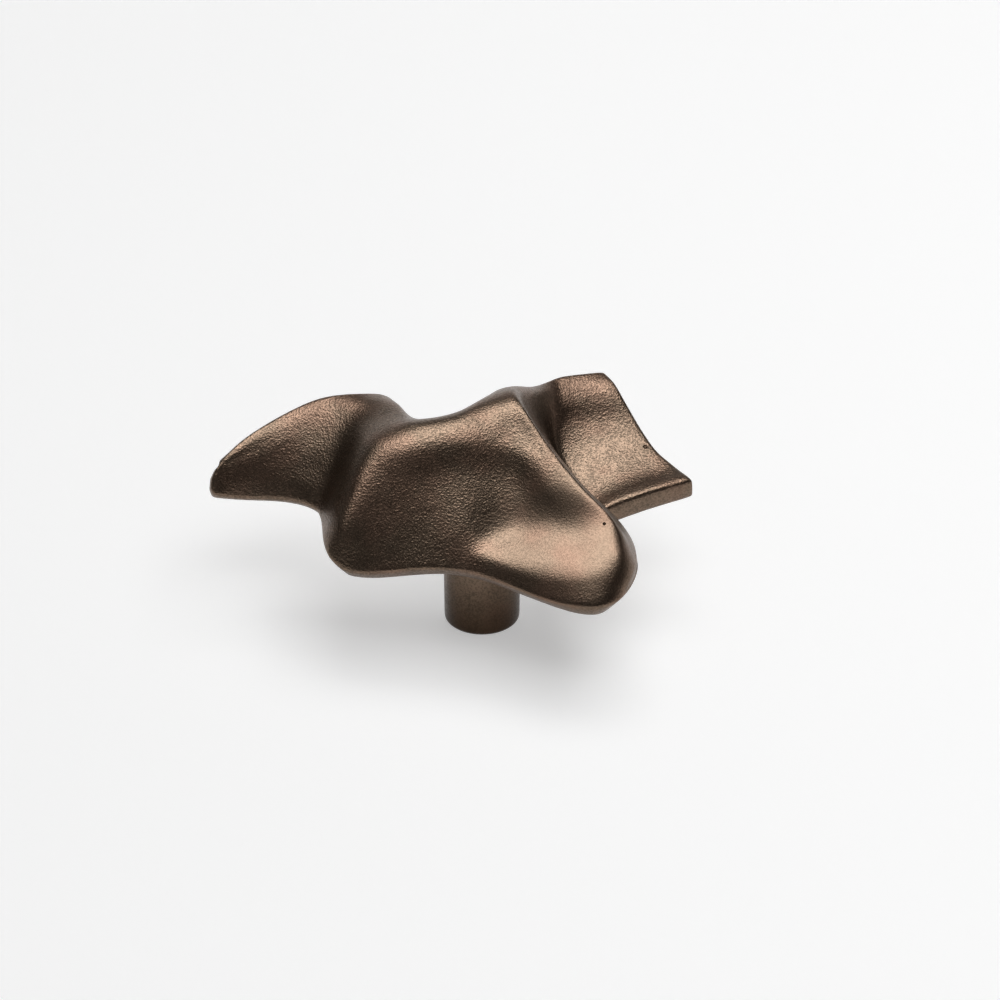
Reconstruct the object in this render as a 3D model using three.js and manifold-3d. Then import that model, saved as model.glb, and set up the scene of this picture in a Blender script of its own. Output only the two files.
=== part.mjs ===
// Cabinet knob: a pleated, leaf-like head cast in one piece with its round post.
// Millimetres, +Z up. The origin is the middle of the post's foot, which seats on the cabinet front.
// Seen along +Y from above, a fin is on the left, a scooped flap with a nose in front,
// and a plate at the right rear.

import * as THREE from "three";
import { LoftGeometry } from "three/addons/geometries/LoftGeometry.js";
import { mergeVertices } from "three/addons/utils/BufferGeometryUtils.js";
import Module from "manifold-3d";

// Post and its blind screw hole, which takes the screw that comes through the cabinet front
const POST_DIAMETER = 12;
const FOOT_ROUNDING = 1.2;
const SCREW_HOLE_DIAMETER = 3.5;
const SCREW_HOLE_DEPTH = 14;
const SCREW_HOLE_CHAMFER = 0.5;

// The head: its size over the ribs, how high its lowest level stands off the cabinet,
// and how thick its three zones are
const HEAD_LENGTH = 75.1;
const HEAD_DEPTH = 50.2;
const HEAD_RISE = 21.8;
const HEAD_STANDOFF = 15;
const FIN_THICKNESS = 2.2;
const BODY_THICKNESS = 3;
const PLATE_THICKNESS = 3.4;

// All edges are broken by this much. The rear edge is drawn thinner than the rest of the head:
// it starts at this share of the thickness, and gains this much of it at each rib point.
// The front edge leans down out of the square by this share of its thickness.
const EDGE_BREAK = 0.4;
const REAR_EDGE_SHARE = 0.45;
const REAR_EDGE_GAIN = 0.18;
const FRONT_EDGE_LEAN = 0.35;

// The hub under the head, a plain swelling in which the post ends
const HUB_WIDTH = 20;
const HUB_DEPTH = 14;
const HUB_HEIGHT = 16;
const HUB_SETBACK = 2;
const HUB_LEVEL = 8;

// How finely the curved faces are divided, and the share of a face over which its direction is taken
const SECTIONS_PER_RIB = 4;
const POINTS_PER_FACE = 22;
const ROUND_SEGMENTS = 48;
const HUB_SEGMENTS = 28;
const ARC_STEPS = 4;
const STEP_SHARE = 0.01;

// The ribs of the head's upper face, from the tip of the fin to the end of the plate.
// Each runs from the rear edge over the top and down to the front edge.
// A point is x, y and its height above HEAD_STANDOFF.
const RIBS = [
  {
    name: "fin tip",
    thickness: FIN_THICKNESS,
    line: [
      [-40.7, 8.8, 8.7], [-41.2, 8.3, 8.2], [-41.6, 7.8, 7.7], [-41.9, 7.3, 7.0],
      [-42.1, 6.9, 6.4], [-42.2, 6.4, 5.5], [-42.1, 6.0, 4.9], [-41.8, 5.8, 4.3],
    ],
  },
  {
    name: "outer fin",
    thickness: FIN_THICKNESS,
    line: [
      [-37.6, 11.5, 10.8], [-37.6, 10.5, 10.1], [-37.7, 9.7, 9.1], [-37.7, 8.9, 8.1],
      [-37.9, 8.3, 7.0], [-37.9, 7.6, 5.7], [-37.9, 7.1, 4.4], [-37.9, 6.7, 3.2],
    ],
  },
  {
    name: "middle of the fin",
    thickness: FIN_THICKNESS,
    line: [
      [-30.9, 14.6, 13.9], [-31.0, 13.2, 13.1], [-31.0, 11.8, 11.9], [-31.1, 10.5, 10.5],
      [-31.1, 9.2, 8.8], [-31.3, 8.0, 7.1], [-31.4, 6.9, 5.3], [-31.4, 6.0, 3.4],
    ],
  },
  {
    name: "root of the fin",
    thickness: FIN_THICKNESS,
    line: [
      [-25.1, 15.6, 16.1], [-25.2, 14.0, 15.2], [-25.3, 12.4, 13.9], [-25.6, 10.7, 12.3],
      [-26.1, 8.9, 10.4], [-26.5, 7.2, 8.3], [-27.1, 5.6, 6.2], [-27.8, 4.2, 3.7],
    ],
  },
  {
    name: "left valley",
    thickness: BODY_THICKNESS,
    line: [
      [-19.1, 15.5, 17.0], [-19.0, 13.0, 16.8], [-19.6, 10.5, 15.5], [-20.8, 8.5, 13.6],
      [-22.1, 6.8, 11.3], [-23.2, 5.0, 8.9], [-24.4, 3.4, 6.2], [-25.7, 2.2, 3.3],
    ],
  },
  {
    name: "left ridge",
    thickness: BODY_THICKNESS,
    line: [
      [-15.1, 16.7, 16.0], [-13.3, 10.7, 17.5], [-14.9, 4.5, 17.6], [-16.7, 1.2, 16.7],
      [-18.6, -1.9, 14.1], [-20.1, -5.0, 10.8], [-22.1, -7.9, 6.8], [-24.0, -9.5, 2.5],
    ],
  },
  {
    name: "left of the scoop",
    thickness: BODY_THICKNESS,
    line: [
      [-11.0, 14.1, 13.3], [-10.9, 7.1, 17.2], [-11.1, 2.3, 19.0], [-12.2, -1.6, 17.1],
      [-13.7, -4.7, 12.8], [-15.3, -7.5, 8.6], [-17.6, -10.3, 3.9], [-20.4, -11.6, 0.5],
    ],
  },
  {
    name: "middle of the scoop",
    thickness: BODY_THICKNESS,
    line: [
      [-5.0, 13.7, 11.7], [-4.7, 7.2, 17.7], [-4.0, 3.1, 20.0], [-3.2, -0.8, 18.1],
      [-2.7, -3.8, 14.1], [-3.2, -7.6, 10.2], [-4.6, -11.4, 6.1], [-6.4, -13.8, 2.7],
    ],
  },
  {
    name: "right of the scoop",
    thickness: BODY_THICKNESS,
    line: [
      [0.5, 16.9, 14.3], [0.5, 11.2, 18.7], [0.7, 5.3, 21.0], [2.7, -0.3, 17.6],
      [4.4, -4.2, 12.5], [2.8, -9.3, 6.9], [0.7, -13.4, 4.5], [-0.4, -14.8, 2.0],
    ],
  },
  {
    name: "shelf beside the crest",
    thickness: BODY_THICKNESS,
    upperFaceOnly: true,
    line: [
      [2.7, 18.3, 15.3], [2.7, 12.0, 19.7], [3.2, 5.6, 21.5], [7.2, -1.4, 18.0],
      [10.9, -7.1, 13.7], [14.2, -12.9, 8.3], [14.0, -19.8, 3.8], [12.3, -22.0, 0.9],
    ],
  },
  {
    name: "crest",
    thickness: BODY_THICKNESS,
    line: [
      [4.9, 19.3, 15.7], [4.6, 12.5, 19.9], [5.2, 6.0, 21.8], [10.0, -1.5, 18.1],
      [15.6, -8.1, 14.2], [20.8, -13.3, 10.3], [21.1, -19.2, 5.8], [18.0, -23.7, 1.5],
    ],
  },
  {
    name: "side of the nose",
    thickness: BODY_THICKNESS,
    upperFaceOnly: true,
    line: [
      [7.0, 20.4, 15.4], [6.1, 13.7, 19.1], [6.0, 7.1, 20.6], [10.4, -0.1, 16.8],
      [16.0, -6.6, 12.7], [22.2, -12.5, 8.1], [23.6, -17.2, 4.4], [21.5, -21.6, 1.6],
    ],
  },
  {
    name: "foot of the nose",
    thickness: BODY_THICKNESS,
    line: [
      [8.6, 21.7, 15.0], [7.9, 16.1, 17.1], [7.2, 10.6, 17.4], [11.0, 4.4, 13.6],
      [15.9, -0.8, 9.5], [20.8, -5.3, 6.7], [23.3, -8.9, 4.8], [24.3, -13.1, 2.9],
    ],
  },
  {
    name: "right valley",
    thickness: PLATE_THICKNESS,
    line: [
      [11.7, 23.9, 15.0], [11.4, 21.5, 14.1], [11.1, 18.9, 12.5], [11.1, 16.6, 9.4],
      [12.2, 13.5, 6.0], [14.4, 10.5, 3.8], [16.2, 7.0, 2.3], [18.1, 3.6, 1.7],
    ],
  },
  {
    name: "left of the plate",
    thickness: PLATE_THICKNESS,
    line: [
      [13.7, 24.8, 15.0], [14.1, 23.1, 14.1], [14.8, 21.2, 12.5], [15.7, 19.2, 10.1],
      [17.4, 16.5, 7.8], [19.5, 13.3, 6.0], [21.6, 9.8, 4.5], [23.7, 5.6, 3.5],
    ],
  },
  {
    name: "end of the plate",
    thickness: PLATE_THICKNESS,
    line: [
      [19.1, 26.5, 14.8], [20.7, 24.5, 14.1], [22.1, 22.4, 12.5], [23.7, 20.3, 10.4],
      [25.4, 17.9, 8.5], [27.5, 15.0, 6.8], [30.3, 12.3, 5.6], [32.9, 9.1, 4.7],
    ],
  },
];

const wasm = await Module();
wasm.setup();

// A closed three.js geometry as a solid that can be joined and cut.
function solidOf(geometry) {
  const bare = new THREE.BufferGeometry();
  bare.setAttribute("position", geometry.getAttribute("position"));
  bare.setIndex(geometry.index);
  const merged = mergeVertices(bare, 1e-4);
  const corners = merged.index.array;
  const kept = [];
  for (let i = 0; i < corners.length; i += 3) {
    const [a, b, c] = corners.slice(i, i + 3);
    if (a !== b && b !== c && a !== c) kept.push(a, b, c);
  }
  return new wasm.Manifold(
    new wasm.Mesh({
      numProp: 3,
      vertProperties: new Float32Array(merged.attributes.position.array),
      triVerts: new Uint32Array(kept),
    }),
  );
}

// A joined solid as a geometry for a mesh.
function geometryOf(solid) {
  const { vertProperties, triVerts } = solid.getMesh();
  const geometry = new THREE.BufferGeometry();
  geometry.setAttribute("position", new THREE.BufferAttribute(vertProperties, 3));
  geometry.setIndex(new THREE.BufferAttribute(triVerts, 1));
  geometry.computeVertexNormals();
  return geometry;
}

// A body turned about Z, from its profile of [radius, height] points.
function turned(profile) {
  const points = profile.map(([radius, height]) => new THREE.Vector2(radius, height));
  return new LatheUpright(points);
}

// three.js turns a profile about Y; this one stands on Z.
class LatheUpright extends THREE.LatheGeometry {
  constructor(points) {
    super(points, ROUND_SEGMENTS);
    this.rotateX(Math.PI / 2);
  }
}

// The end faces close halfway through the thickness
const HALF_SHARE = 0.5;

// The ribs are listed at real size, and stretch with the head's own sizes about the post.
const listedPoints = RIBS.flatMap(({ line }) => line.map((point) => new THREE.Vector3(...point)));
const listed = new THREE.Box3().setFromPoints(listedPoints);
const stretch = new THREE.Vector3(
  HEAD_LENGTH / (listed.max.x - listed.min.x),
  HEAD_DEPTH / (listed.max.y - listed.min.y),
  HEAD_RISE / listed.max.z,
);

// The ribs of the upper face as smooth lines in the knob's own frame.
const standoff = new THREE.Vector3(0, 0, HEAD_STANDOFF);
const upperRibs = RIBS.map(({ line, thickness, upperFaceOnly }) => {
  const points = line.map((point) => new THREE.Vector3(...point).multiply(stretch).add(standoff));
  return { points, thickness, upperFaceOnly, curve: new THREE.CatmullRomCurve3(points) };
});

// The underside leaves out the ribs that only sharpen the crest. Each of its points lies below
// a rib's point, square to the four points around that one, and the front edge leans down.
const DOWN = new THREE.Vector3(0, 0, -1);
const ribsOfBothFaces = upperRibs.filter(({ upperFaceOnly }) => !upperFaceOnly);
const lowerRibs = ribsOfBothFaces.map(({ points, thickness }, index) => {
  const ribBefore = ribsOfBothFaces[Math.max(index - 1, 0)];
  const ribAfter = ribsOfBothFaces[Math.min(index + 1, ribsOfBothFaces.length - 1)];
  const pointsBelow = points.map((point, i) => {
    const alongHead = ribAfter.points[i].clone().sub(ribBefore.points[i]);
    const alongRib = points[Math.min(i + 1, points.length - 1)].clone().sub(points[Math.max(i - 1, 0)]);
    const inward = alongHead.cross(alongRib).normalize();
    if (i === points.length - 1) inward.addScaledVector(DOWN, FRONT_EDGE_LEAN).normalize();
    const share = Math.min(REAR_EDGE_SHARE + i * REAR_EDGE_GAIN, 1);
    return point.clone().addScaledVector(inward, thickness * share);
  });
  return new THREE.CatmullRomCurve3(pointsBelow);
});
const lowerPlaces = ribsOfBothFaces.map((rib) => upperRibs.indexOf(rib));

// A point of the upper face: s runs from the fin's tip (0) to the plate's end (1),
// and t from the rear edge (0) to the front edge (1).
function facePoint(s, t) {
  return new THREE.CatmullRomCurve3(upperRibs.map(({ curve }) => curve.getPoint(t))).getPoint(s);
}

// The point of the underside below it.
function undersidePoint(s, t) {
  const place = s * (upperRibs.length - 1);
  const last = lowerPlaces.length - 1;
  const before = Math.min(lowerPlaces.findLastIndex((index) => index <= place), last - 1);
  const share = (place - lowerPlaces[before]) / (lowerPlaces[before + 1] - lowerPlaces[before]);
  const across = new THREE.CatmullRomCurve3(lowerRibs.map((curve) => curve.getPoint(t)));
  return across.getPoint((before + share) / last);
}

// The direction along the face at s and t, towards higher s or t.
function directionAlong(s, t, stepS, stepT) {
  const inside = (value) => THREE.MathUtils.clamp(value, 0, 1);
  const after = facePoint(inside(s + stepS), inside(t + stepT));
  return after.sub(facePoint(inside(s - stepS), inside(t - stepT))).normalize();
}

// One closed section of the head at s. Its faces are drawn in by a share of the thickness,
// and the whole section is pushed out along the head.
function section(s, drawnIn, pushedOut) {
  const across = (t, share, past) => {
    const aside = directionAlong(s, t, STEP_SHARE, 0).multiplyScalar(pushedOut);
    const beyond = directionAlong(s, t, 0, STEP_SHARE).multiplyScalar(past);
    return facePoint(s, t).lerp(undersidePoint(s, t), share).add(aside).add(beyond);
  };
  // The two corners of the edge face at t, on the side that the sign gives
  const edge = (t, sign) => {
    const thickness = facePoint(s, t).distanceTo(undersidePoint(s, t));
    const share = Math.max(Math.min(EDGE_BREAK / thickness, HALF_SHARE), drawnIn);
    const past = sign * (share - drawnIn) * thickness;
    return [across(t, share, past), across(t, 1 - share, past)];
  };
  const places = Array.from({ length: POINTS_PER_FACE + 1 }, (_, i) => i / POINTS_PER_FACE);
  const upper = places.map((t) => across(t, drawnIn, 0));
  const lower = places.map((t) => across(t, 1 - drawnIn, 0)).reverse();
  return [...upper, ...edge(1, 1), ...lower, ...edge(0, -1).reverse()];
}

// The head is lofted from the fin's tip to the plate's end. Each end face has its corners broken,
// and is closed by a last section that is drawn in to the middle of the thickness.
function head() {
  const count = (RIBS.length - 1) * SECTIONS_PER_RIB;
  const sections = [];
  for (let i = 0; i <= count; i++) sections.push(section(i / count, 0, 0));
  const endFace = (s, thickness, out) => [
    section(s, EDGE_BREAK / thickness, out * EDGE_BREAK),
    section(s, HALF_SHARE, out * EDGE_BREAK),
  ];
  sections.unshift(...endFace(0, RIBS[0].thickness, -1).reverse());
  sections.push(...endFace(1, RIBS.at(-1).thickness, 1));
  return solidOf(new LoftGeometry(sections));
}

function hub() {
  const ball = new THREE.SphereGeometry(0.5, HUB_SEGMENTS, HUB_SEGMENTS / 2);
  ball.rotateX(Math.PI / 2);
  ball.scale(HUB_WIDTH, HUB_DEPTH, HUB_HEIGHT);
  ball.translate(0, HUB_SETBACK, HEAD_STANDOFF + HUB_LEVEL);
  return solidOf(ball);
}

// The post rises from its rounded foot to the middle of the hub.
function post() {
  const radius = POST_DIAMETER / 2;
  const profile = [[0, 0]];
  for (let i = 0; i <= ARC_STEPS; i++) {
    const angle = ((i / ARC_STEPS) * Math.PI) / 2;
    profile.push([
      radius - FOOT_ROUNDING * (1 - Math.sin(angle)),
      FOOT_ROUNDING * (1 - Math.cos(angle)),
    ]);
  }
  profile.push([radius, HEAD_STANDOFF + HUB_LEVEL], [0, HEAD_STANDOFF + HUB_LEVEL]);
  return solidOf(turned(profile));
}

// The blind hole in the foot, with a chamfered mouth and the drill's cone at its end.
function screwHole() {
  const radius = SCREW_HOLE_DIAMETER / 2;
  const below = 1;
  const mouth = radius + SCREW_HOLE_CHAMFER;
  return solidOf(
    turned([
      [0, -below],
      [mouth + below, -below],
      [radius, SCREW_HOLE_CHAMFER],
      [radius, SCREW_HOLE_DEPTH],
      [0, SCREW_HOLE_DEPTH + radius / 2],
    ]),
  );
}

const agedBronze = new THREE.MeshStandardMaterial({ color: 0x6e5545, roughness: 0.42, metalness: 1 });

const casting = new THREE.Mesh(
  geometryOf(head().add(hub()).add(post()).subtract(screwHole())),
  agedBronze,
);
casting.name = "knob_casting";

const knob = new THREE.Group();
knob.name = "cabinet knob";
knob.add(casting);

export default knob;
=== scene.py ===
"""Cabinet knob: the looks of a sand-cast bronze knob on a pale studio floor."""

import math
from typing import NamedTuple

import bmesh
import bpy
from bpy.props import FloatProperty, FloatVectorProperty, IntProperty, PointerProperty
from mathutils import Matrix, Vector


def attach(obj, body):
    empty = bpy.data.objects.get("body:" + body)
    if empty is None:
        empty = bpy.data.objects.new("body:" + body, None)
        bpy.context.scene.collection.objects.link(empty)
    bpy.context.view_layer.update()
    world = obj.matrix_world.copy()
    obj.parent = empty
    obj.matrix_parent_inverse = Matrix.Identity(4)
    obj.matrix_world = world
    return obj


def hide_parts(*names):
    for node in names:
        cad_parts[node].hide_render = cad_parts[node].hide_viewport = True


bl_info = {
    "name": "Cabinet Knob",
    "version": (1, 0, 0),
    "blender": (4, 5, 0),
    "location": "View3D > Sidebar > Knob",
    "description": "Builds a sand-cast bronze cabinet knob, its screw thread and a small studio",
    "category": "Object",
}

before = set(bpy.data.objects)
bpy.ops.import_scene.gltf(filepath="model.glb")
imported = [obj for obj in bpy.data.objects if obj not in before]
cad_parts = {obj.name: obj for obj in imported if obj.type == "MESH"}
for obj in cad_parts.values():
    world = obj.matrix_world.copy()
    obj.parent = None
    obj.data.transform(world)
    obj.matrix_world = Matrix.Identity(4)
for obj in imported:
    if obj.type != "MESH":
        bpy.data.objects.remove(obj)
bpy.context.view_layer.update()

CASTING_NODE = "knob_casting"
ROOT_BODY = "root"
BRONZE_NAME = "cast bronze"
MM = 0.001


# Shape of the casting


class Stroke(NamedTuple):
    """A line seen from above along which the surface is raised or hollowed, in millimetres."""

    start: tuple
    end: tuple
    reach: float
    height: float


class Pit(NamedTuple):
    """A small hole that the sand has left, in metres."""

    place: tuple
    radius: float


# Where the head's upper face was worked by hand. A height below zero makes a groove.
HAND_WORK = {
    "groove beside the crest": Stroke((5.2, 1.2), (22.2, -14.4), reach=3.4, height=-0.95),
    "swelling in front": Stroke((3, -7), (16, -20), reach=5.5, height=0.6),
    "groove behind the swelling": Stroke((-5, -13), (6, -9.5), reach=2.8, height=-0.4),
    "lip along the plate's front edge": Stroke((20.8, 4.6), (32.3, 8.6), reach=4.0, height=0.5),
}

PITS = {
    "at the crest": Pit((18.9 * MM, -12.8 * MM, 24.6 * MM), 0.35 * MM),
    "at the plate's right edge": Pit((25.9 * MM, 15.7 * MM, 22.2 * MM), 0.4 * MM),
}

# The upper face is where the surface's normal points up by at least this much
LEAST_UP = 0.25

# The CAD mesh is loose triangles: points this near are one, and triangles that lie this flat and
# this square to each other become a quad
MERGE_DISTANCE = 0.004 * MM
FLAT_ENOUGH = math.radians(35)
SQUARE_ENOUGH = math.radians(70)

# The level of the waves' texture that leaves the surface where it is. Most of the texture is
# lower, so the waves go inwards and stay in the CAD box.
WAVE_MIDDLE = 0.75


# Places and colours of the finish

# Between these distances from its axis, and these heights, the post's smooth finish gives way to
# the head's grain. The post's colour is darker towards its foot, up to the last height.
POST_SIDE = (6.3 * MM, 7.5 * MM)
POST_TOP = (14 * MM, 17 * MM)
FOOT_DARKENING_TOP = 15 * MM

# Hands have rubbed the grain down around this place at the nose. It fades between these distances.
RUBBED_PLACE = (13 * MM, -14 * MM, 22 * MM)
RUBBED_FADE = (7 * MM, 16 * MM)

# How much of the grain is gone on the post and where hands rub, and the even patina left there
POST_SMOOTHNESS = 0.85
RUBBED_SMOOTHNESS = 0.65
EVEN_PATINA = 0.2

# The finish is made of fine grain, pebbles that are so many times bigger, blotches of patina and
# wide warm clouds. The share is the grain's, beside the pebbles or the blotches.
GRAIN_SHARE = 0.7
PEBBLE_TO_GRAIN = 2.4
BLOTCH_SIZE = 2.4 * MM
CLOUD_SIZE = 9 * MM

# Low grain is dark with patina below the first value and bare above the second. The clouds are
# warm above their second value.
PATINA_EDGE = (0.36, 0.62)
CLOUD_EDGE = (0.42, 0.66)

# How strongly each darker or warmer colour covers the bronze
PATINA_COVER = 0.6
WARM_COVER = 0.3
PIT_COVER = 0.8
FOOT_DARKENING_COVER = 0.85

# How far a pit goes down, in times the grain's height
PIT_DEPTH = 2

# Roughness of the bare bronze, and what patina and clouds add
BARE_ROUGHNESS = 0.27
PATINA_ROUGHNESS = 0.12
CLOUD_ROUGHNESS = 0.08

WARM_BRONZE = (0.25, 0.140, 0.100)
PIT_BROWN = (0.020, 0.012, 0.008)
# The brown that the post's colour darkens to towards its foot
POST_FOOT_BROWN = (0.030, 0.018, 0.010)
FLOOR_SHADE = (0.70, 0.70, 0.71)


# The thread

# Steps in one turn, and how deep the ridge's foot lies in the wall of the hole
THREAD_STEPS = 28
INTO_WALL = 0.05 * MM

# Where the ridge's crest starts and ends, and where the ridge ends, as shares of the pitch
CREST_START = 0.42
CREST_END = 0.5
RIDGE_END = 0.92

# A slanting direction, along which no two points of the thread are level
SLANT = Vector((1, 0.3, 7))


# The studio


class Lamp(NamedTuple):
    """A rectangular lamp, in metres and watts, and which of its visibilities is turned off."""

    place: tuple
    target: tuple
    size: tuple
    power: float
    turned_off: str


# The softbox and the back light are seen in reflections only, the ceiling by matte surfaces only
LAMPS = {
    "softbox": Lamp((-0.18, 0.01, 1.0), (-0.18, 0.01, 0), (1.05, 0.6), 10.4, "visible_diffuse"),
    "back light": Lamp((0, 1.3, 0.34), (0, 0, 0.1), (2.4, 0.6), 2.8, "visible_diffuse"),
    "ceiling": Lamp((0.2, 0.05, 1.0), (0.2, 0.05, 0), (0.9, 1.6), 12.9, "visible_glossy"),
}

# How bright the backdrop is to the camera, and how bright its dark part is to the bronze and the
# floor. Its light part is brighter by the last value.
BACKDROP_SEEN = 0.9
BACKDROP_DARK = 0.045
BACKDROP_LIGHT = 0.48

# The two parts blend between these values of the direction along, across and up
LIGHT_ALONG = (-0.2, 0.4)
LIGHT_ACROSS = (-0.75, -0.1)
LIGHT_UP = (0.3, 0.55)

FLOOR_RADIUS = 5
FLOOR_SEGMENTS = 96
FLOOR_CLOUD_SIZE = 0.4
FLOOR_CLOUD_COVER = 0.04

# Nothing nearer to the camera than this is seen
CAMERA_CLIP = 0.01


# Shader maths


class Socket:
    """An output of a node, so that shader maths reads as plain expressions."""

    def __init__(self, nodes, output):
        self.nodes = nodes
        self.output = output

    def math(self, operation, first, second):
        return self.nodes.add("ShaderNodeMath", {"operation": operation}, (first, second))

    def __add__(self, other):
        return self.math("ADD", self, other)

    def __radd__(self, other):
        return self + other

    def __sub__(self, other):
        return self.math("SUBTRACT", self, other)

    def __rsub__(self, other):
        return self.math("SUBTRACT", other, self)

    def __mul__(self, other):
        return self.math("MULTIPLY", self, other)

    def __rmul__(self, other):
        return self * other

    def __pow__(self, other):
        return self.math("POWER", self, other)

    def ramp(self, low, high):
        """0 at low, 1 at high, with a smooth rise between."""
        return self.nodes.add(
            "ShaderNodeMapRange",
            {"interpolation_type": "SMOOTHSTEP"},
            {"Value": self, "From Min": low, "From Max": high},
        )


class Nodes:
    """Adds nodes to a material or to the world."""

    def __init__(self, owner):
        owner.use_nodes = True
        self.tree = owner.node_tree
        self.tree.nodes.clear()

    def add(self, kind, settings=None, values=(), out=0):
        node = self.tree.nodes.new(kind)
        for name, value in (settings or {}).items():
            setattr(node, name, value)
        pairs = values.items() if isinstance(values, dict) else enumerate(values)
        for name, value in pairs:
            socket = node.inputs[name]
            if isinstance(value, Socket):
                self.tree.links.new(value.output, socket)
            else:
                socket.default_value = value
        return Socket(self, node.outputs[out])

    def position(self):
        return self.add("ShaderNodeTexCoord", out="Object")

    def split(self, vector):
        node = self.add("ShaderNodeSeparateXYZ", values=(vector,)).output.node
        return [Socket(self, output) for output in node.outputs]

    def distance(self, vector, point):
        return self.add(
            "ShaderNodeVectorMath", {"operation": "DISTANCE"}, (vector, point), out="Value"
        )

    def noise(self, vector, size, detail, roughness=0.5):
        """Soft noise from 0 to 1 with features of about that size in metres."""
        return self.add(
            "ShaderNodeTexNoise",
            {"noise_dimensions": "3D"},
            {"Vector": vector, "Scale": 1 / size, "Detail": detail, "Roughness": roughness},
        )

    def mix(self, factor, first, second):
        """A mix of two colours."""
        node = self.tree.nodes.new("ShaderNodeMix")
        node.data_type = "RGBA"
        colours = [socket for socket in node.inputs if socket.type == "RGBA"]
        for socket, value in zip([node.inputs["Factor"], *colours], (factor, first, second)):
            if isinstance(value, Socket):
                self.tree.links.new(value.output, socket)
            else:
                socket.default_value = value
        return Socket(self, next(output for output in node.outputs if output.type == "RGBA"))

    def finish(self, kind, surface):
        target = self.tree.nodes.new(kind)
        self.tree.links.new(surface.output, target.inputs["Surface"])


def rgba(colour):
    return (*colour, 1.0)


# Sizes and colours that a user may change


def length(name, description, default):
    return FloatProperty(
        name=name, description=description, default=default, unit="LENGTH", precision=5
    )


def paint(name, description, default):
    return FloatVectorProperty(
        name=name, description=description, default=default, subtype="COLOR", size=3
    )


class KnobSettings(bpy.types.PropertyGroup):
    """Sizes and colours of the knob's finish."""

    grain_size: length("Grain size", "Size of the sand's grain on the head", 0.0003)
    grain_height: length("Grain height", "How far the grain stands out of the head", 0.00011)
    wave_size: length("Wave size", "Size of the shallow waves that hand work leaves", 0.0016)
    wave_height: length("Wave height", "How far those waves stand out", 0.00003)
    bronze: paint("Bronze", "Colour of the rubbed bronze", (0.195, 0.137, 0.098))
    patina: paint("Patina", "Colour of the dark patina in the pits", (0.068, 0.055, 0.040))
    fineness: IntProperty(
        name="Fineness",
        description="Subdivision levels of the casting",
        default=2,
        min=1,
        max=2,
    )


class ThreadSettings(bpy.types.PropertyGroup):
    """Sizes of the thread in the post."""

    pitch: length("Pitch", "Rise of the thread in one turn", 0.0007)
    hole_diameter: length("Hole", "Diameter of the hole that the thread is cut in", 0.0035)
    crest_height: length("Crest", "How far the thread's crests stand into the hole", 0.00022)
    start: length("Start", "Height above the foot at which the thread starts", 0.0008)
    turns: IntProperty(name="Turns", description="Turns of thread in the hole", default=16, min=1)


class StageSettings(bpy.types.PropertyGroup):
    """The camera and the floor."""

    floor: paint("Floor", "Colour of the studio floor", (0.72, 0.72, 0.72))
    floor_glow: FloatProperty(
        name="Floor glow",
        description="How much the floor shines by itself, which keeps the shadow pale",
        default=0.6,
    )
    aim: FloatVectorProperty(
        name="Aim",
        description="The point that the camera looks at",
        default=(0.00284, 0.00932, 0.01614),
        subtype="TRANSLATION",
        size=3,
    )
    distance: length("Distance", "From the camera to the point that it looks at", 0.878)
    elevation: FloatProperty(
        name="Elevation",
        description="How far the camera looks down",
        default=math.radians(30),
        subtype="ANGLE",
    )
    lens: FloatProperty(
        name="Lens",
        description="Focal length of the camera in millimetres",
        default=200.0,
    )


# Mesh helpers


def new_piece(name, mesh, material):
    """A finished bmesh as an object at the origin."""
    data = bpy.data.meshes.new(name)
    mesh.to_mesh(data)
    mesh.free()
    for polygon in data.polygons:
        polygon.use_smooth = True
    data.materials.append(material)
    piece = bpy.data.objects.new(name, data)
    bpy.context.scene.collection.objects.link(piece)
    return piece


def merged_copy(node):
    """A copy of a CAD node's loose triangles with its points merged and its quads restored."""
    mesh = bmesh.new()
    mesh.from_mesh(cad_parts[node].data)
    bmesh.ops.remove_doubles(mesh, verts=mesh.verts, dist=MERGE_DISTANCE)
    bmesh.ops.join_triangles(
        mesh,
        faces=mesh.faces,
        angle_face_threshold=FLAT_ENOUGH,
        angle_shape_threshold=SQUARE_ENOUGH,
    )
    return mesh


def put_in_order(mesh):
    """Sorts points and faces, which a spin lists in another order on each run."""
    mesh.verts.sort(key=lambda vert: vert.co.dot(SLANT))
    mesh.faces.sort(key=lambda face: face.calc_center_median().dot(SLANT))


def from_stroke(point, stroke):
    """How far a point lies from a stroke's line, seen from above."""
    along = (Vector(stroke.end) - Vector(stroke.start)) * MM
    away = point.xy - Vector(stroke.start) * MM
    share = min(max(away.dot(along) / along.length_squared, 0.0), 1.0)
    return (away - along * share).length


def work_by_hand(mesh):
    """Raises or hollows the head's upper face along the strokes of HAND_WORK."""
    mesh.normal_update()
    upper = [vert for vert in mesh.verts if vert.normal.z > LEAST_UP]
    for stroke in HAND_WORK.values():
        for vert in upper:
            share = min(from_stroke(vert.co, stroke) / (stroke.reach * MM), 1.0)
            vert.co.z += stroke.height * MM * (1 - share**2) ** 2


# Materials


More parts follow.
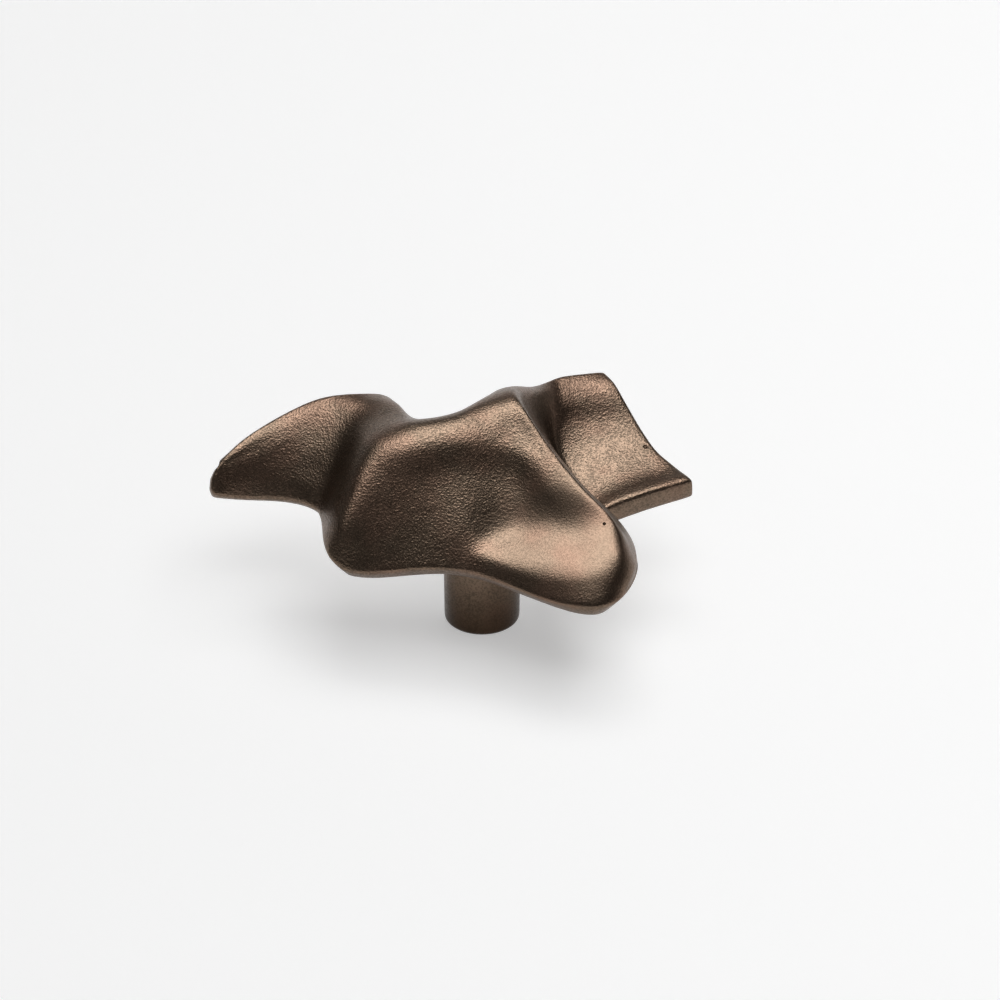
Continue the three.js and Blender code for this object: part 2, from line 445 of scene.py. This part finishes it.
def cast_bronze(settings):
    """Sand-cast bronze under a rubbed dark patina."""
    material = bpy.data.materials.new(BRONZE_NAME)
    nodes = Nodes(material)
    place = nodes.position()
    x, y, z = nodes.split(place)
    from_axis = (x * x + y * y) ** 0.5
    on_post = (1 - from_axis.ramp(*POST_SIDE)) * (1 - z.ramp(*POST_TOP))
    low_on_post = on_post * (1 - z.ramp(0.0, FOOT_DARKENING_TOP))
    rubbed = 1 - nodes.distance(place, RUBBED_PLACE).ramp(*RUBBED_FADE)
    unworn = 1 - rubbed * RUBBED_SMOOTHNESS

    grain = nodes.noise(place, settings.grain_size, detail=1.0)
    pebble = nodes.noise(place, settings.grain_size * PEBBLE_TO_GRAIN, detail=1.0)
    blotch = nodes.noise(place, BLOTCH_SIZE, detail=3.0, roughness=0.6)
    cloud = nodes.noise(place, CLOUD_SIZE, detail=3.0, roughness=0.55)

    relief = grain * GRAIN_SHARE + pebble * (1 - GRAIN_SHARE)
    relief = relief * (1 - on_post * POST_SMOOTHNESS) * unworn
    low_grain = 1 - (grain * GRAIN_SHARE + blotch * (1 - GRAIN_SHARE)).ramp(*PATINA_EDGE)
    dark = low_grain * unworn + rubbed * EVEN_PATINA
    colour = nodes.mix(dark * PATINA_COVER, rgba(settings.bronze), rgba(settings.patina))
    warmer = nodes.mix(WARM_COVER, colour, rgba(WARM_BRONZE))
    colour = nodes.mix(cloud.ramp(*CLOUD_EDGE), colour, warmer)
    for pit in PITS.values():
        inside = 1 - nodes.distance(place, pit.place).ramp(pit.radius / 2, pit.radius)
        relief = relief - inside * PIT_DEPTH
        colour = nodes.mix(inside * PIT_COVER, colour, rgba(PIT_BROWN))
    # The post's colour turns darker towards its foot
    colour = nodes.mix(low_on_post * FOOT_DARKENING_COVER, colour, rgba(POST_FOOT_BROWN))
    roughness = BARE_ROUGHNESS + PATINA_ROUGHNESS * dark + CLOUD_ROUGHNESS * cloud

    bump = nodes.add(
        "ShaderNodeBump",
        values={"Strength": 1.0, "Distance": settings.grain_height, "Height": relief},
    )
    shader = nodes.add(
        "ShaderNodeBsdfPrincipled",
        values={
            "Base Color": colour,
            "Metallic": 1.0,
            "Roughness": roughness,
            "Normal": bump,
        },
    )
    nodes.finish("ShaderNodeOutputMaterial", shader)
    return material


def floor_paint(settings):
    """A plain pale studio floor with the faintest unevenness."""
    material = bpy.data.materials.new("studio floor")
    nodes = Nodes(material)
    cloud = nodes.noise(nodes.position(), FLOOR_CLOUD_SIZE, detail=1.0)
    colour = nodes.mix(cloud * FLOOR_CLOUD_COVER, rgba(settings.floor), rgba(FLOOR_SHADE))
    shader = nodes.add(
        "ShaderNodeBsdfPrincipled",
        values={
            "Base Color": colour,
            "Roughness": 0.85,
            "Specular IOR Level": 0.1,
            "Emission Color": colour,
            "Emission Strength": settings.floor_glow,
        },
    )
    nodes.finish("ShaderNodeOutputMaterial", shader)
    return material


# Operators, one for each piece and one for the stage


class KNOB_OT_casting(bpy.types.Operator):
    """Adds the knob's casting with its sand-cast surface"""

    bl_idname = "knob.casting"
    bl_label = "Casting"

    def execute(self, context):
        settings = context.scene.knob_settings
        mesh = merged_copy(CASTING_NODE)
        work_by_hand(mesh)
        piece = new_piece("bronze_casting", mesh, cast_bronze(settings))
        smooth = piece.modifiers.new("Subdivision", "SUBSURF")
        smooth.levels = smooth.render_levels = settings.fineness
        waves = bpy.data.textures.new("hand-worked waves", "CLOUDS")
        waves.noise_scale = settings.wave_size
        waves.noise_depth = 1
        uneven = piece.modifiers.new("Waves", "DISPLACE")
        uneven.texture = waves
        uneven.texture_coords = "LOCAL"
        uneven.strength = settings.wave_height
        uneven.mid_level = WAVE_MIDDLE
        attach(piece, ROOT_BODY)
        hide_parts(CASTING_NODE)
        return {"FINISHED"}


class KNOB_OT_screw_thread(bpy.types.Operator):
    """Adds the thread in the post's screw hole"""

    bl_idname = "knob.screw_thread"
    bl_label = "Screw thread"

    def execute(self, context):
        settings = context.scene.thread_settings
        foot = settings.hole_diameter / 2 + INTO_WALL
        crest = settings.hole_diameter / 2 - settings.crest_height
        mesh = bmesh.new()
        profile = [
            (foot, 0.0),
            (crest, settings.pitch * CREST_START),
            (crest, settings.pitch * CREST_END),
            (foot, settings.pitch * RIDGE_END),
        ]
        ring = [mesh.verts.new((r, 0, settings.start + h)) for r, h in profile]
        face = mesh.faces.new(ring)
        bmesh.ops.spin(
            mesh,
            geom=[face, *face.edges, *ring],
            cent=(0, 0, 0),
            axis=(0, 0, 1),
            dvec=(0, 0, settings.pitch / THREAD_STEPS),
            angle=math.tau * settings.turns,
            steps=THREAD_STEPS * settings.turns,
        )
        bmesh.ops.holes_fill(mesh, edges=mesh.edges)
        bmesh.ops.recalc_face_normals(mesh, faces=mesh.faces)
        put_in_order(mesh)
        piece = new_piece("screw_thread", mesh, bpy.data.materials[BRONZE_NAME])
        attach(piece, ROOT_BODY)
        return {"FINISHED"}


class KNOB_OT_stage(bpy.types.Operator):
    """Adds the floor, the lights and the camera"""

    bl_idname = "knob.stage"
    bl_label = "Stage"

    def execute(self, context):
        settings = context.scene.stage_settings
        self.add_floor(settings)
        for name, lamp in LAMPS.items():
            self.add_light(name, lamp)
        self.add_camera(settings)
        self.add_world(context.scene)
        context.scene.view_settings.view_transform = "Standard"
        return {"FINISHED"}

    def add_floor(self, settings):
        mesh = bmesh.new()
        bmesh.ops.create_circle(
            mesh, cap_ends=True, segments=FLOOR_SEGMENTS, radius=FLOOR_RADIUS
        )
        floor = new_piece("studio_floor", mesh, floor_paint(settings))

    def add_light(self, name, lamp):
        data = bpy.data.lights.new(name, "AREA")
        data.shape = "RECTANGLE"
        data.size, data.size_y = lamp.size
        data.energy = lamp.power
        light = bpy.data.objects.new(name, data)
        light.location = lamp.place
        away = Vector(lamp.target) - Vector(lamp.place)
        light.rotation_euler = away.to_track_quat("-Z", "Y").to_euler()
        light.visible_camera = False
        setattr(light, lamp.turned_off, False)
        bpy.context.scene.collection.objects.link(light)

    def add_camera(self, settings):
        data = bpy.data.cameras.new("camera")
        data.lens = settings.lens
        data.clip_start = CAMERA_CLIP
        camera = bpy.data.objects.new("camera", data)
        back = Vector((0, -math.cos(settings.elevation), math.sin(settings.elevation)))
        camera.location = Vector(settings.aim) + back * settings.distance
        camera.rotation_euler = (math.pi / 2 - settings.elevation, 0, 0)
        bpy.context.scene.collection.objects.link(camera)
        bpy.context.scene.camera = camera

    def add_world(self, scene):
        """Pale behind and beside the knob near the floor, dark on the camera's side and above."""
        scene.world = bpy.data.worlds.new("studio")
        nodes = Nodes(scene.world)
        across, along, up = nodes.split(nodes.add("ShaderNodeTexCoord", out="Generated"))
        behind = along.ramp(*LIGHT_ALONG) * across.ramp(*LIGHT_ACROSS)
        low = 1 - up.ramp(*LIGHT_UP)
        light = BACKDROP_DARK + BACKDROP_LIGHT * (behind * low)
        seen = nodes.add("ShaderNodeLightPath", out="Is Camera Ray")
        strength = light * (1 - seen) + seen * BACKDROP_SEEN
        backdrop = nodes.add("ShaderNodeBackground", values={"Strength": strength})
        nodes.finish("ShaderNodeOutputWorld", backdrop)


class KNOB_PT_panel(bpy.types.Panel):
    """Lists the pieces of the knob and their sizes"""

    bl_idname = "KNOB_PT_panel"
    bl_label = "Cabinet knob"
    bl_space_type = "VIEW_3D"
    bl_region_type = "UI"
    bl_category = "Knob"

    def draw(self, context):
        groups = (
            (context.scene.knob_settings, KNOB_OT_casting),
            (context.scene.thread_settings, KNOB_OT_screw_thread),
            (context.scene.stage_settings, KNOB_OT_stage),
        )
        for settings, operator in groups:
            column = self.layout.column()
            for name in settings.__annotations__:
                column.prop(settings, name)
            column.operator(operator.bl_idname)


SETTINGS = {
    "knob_settings": KnobSettings,
    "thread_settings": ThreadSettings,
    "stage_settings": StageSettings,
}
OPERATORS = (KNOB_OT_casting, KNOB_OT_screw_thread, KNOB_OT_stage)


def register():
    for cls in (*SETTINGS.values(), *OPERATORS, KNOB_PT_panel):
        bpy.utils.register_class(cls)
    for name, cls in SETTINGS.items():
        setattr(bpy.types.Scene, name, PointerProperty(type=cls))


def unregister():
    for name in SETTINGS:
        delattr(bpy.types.Scene, name)
    for cls in reversed((*SETTINGS.values(), *OPERATORS, KNOB_PT_panel)):
        bpy.utils.unregister_class(cls)


def main():
    register()
    bpy.ops.knob.casting()
    bpy.ops.knob.screw_thread()
    bpy.ops.knob.stage()


if __name__ == "__main__":
    main()
